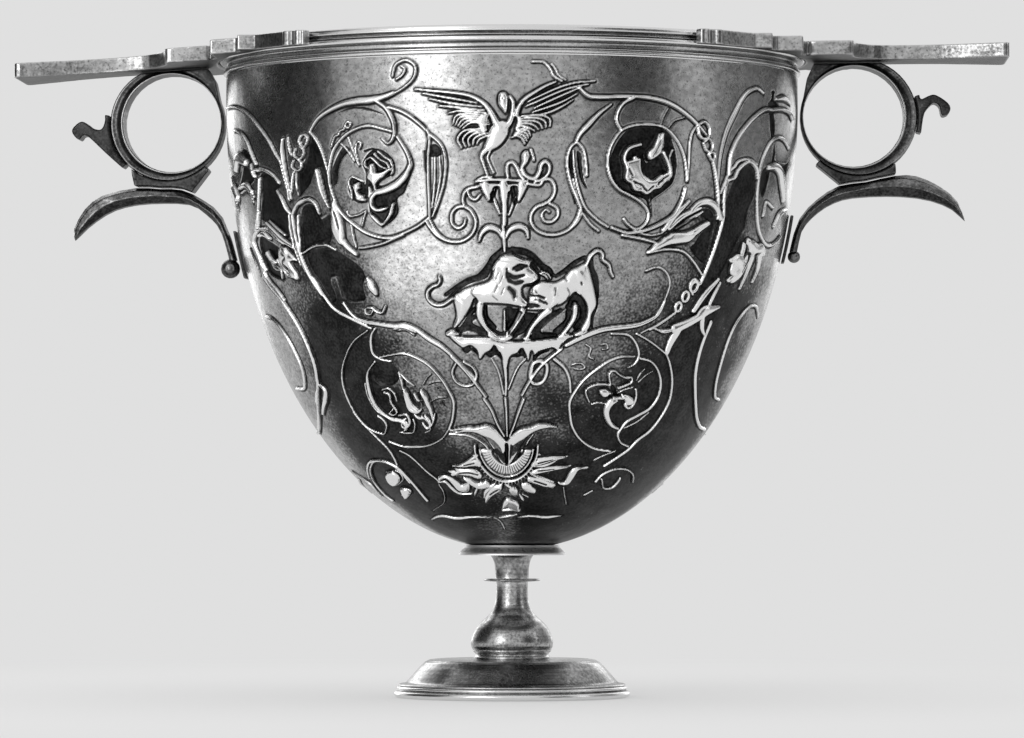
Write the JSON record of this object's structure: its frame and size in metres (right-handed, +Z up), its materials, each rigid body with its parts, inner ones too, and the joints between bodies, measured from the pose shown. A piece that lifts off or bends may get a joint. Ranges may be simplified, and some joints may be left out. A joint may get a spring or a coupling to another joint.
{
  "type": "kantharos",
  "caption": "Footed silver drinking cup with a chased bowl, a moulded rim and two ring handles that carry flat thumb plates and crescent rests.",
  "frame": {"origin": "on the cup's axis, at the level the foot stands on", "axes": "+X through the right-hand handle, -Y towards the viewer of the front, +Z up the cup's axis"},
  "size_m": [0.188, 0.1112, 0.1234],
  "materials": {
    "chased_silver": "old silver, chased in relief, dark in the hollows",
    "plain_silver": "plain smooth old silver",
    "worn_silver": "worn bright silver edges",
    "dark_silver": "tarnished silver, dark"
  },
  "bodies": {
    "root": {"foot_edge_ring": "worn_silver", "foot_dome": "dark_silver", "stem_baluster": "dark_silver", "stem_disc": "worn_silver", "upper_stem": "dark_silver", "stem_collar": "worn_silver", "bowl_casing": "chased_silver", "bowl_liner": "plain_silver", "rim_moulding": "worn_silver", "right_thumb_plate": "worn_silver", "right_finger_ring": "dark_silver", "right_spur_leaf": "dark_silver", "right_ring_neck": "dark_silver", "right_crescent_rest": "dark_silver", "right_wall_pad": "dark_silver", "right_ball_terminal": "worn_silver", "left_thumb_plate": "worn_silver", "left_finger_ring": "dark_silver", "left_spur_leaf": "dark_silver", "left_ring_neck": "dark_silver", "left_crescent_rest": "dark_silver", "left_wall_pad": "dark_silver", "left_ball_terminal": "worn_silver"}
  },
  "joints": []
}
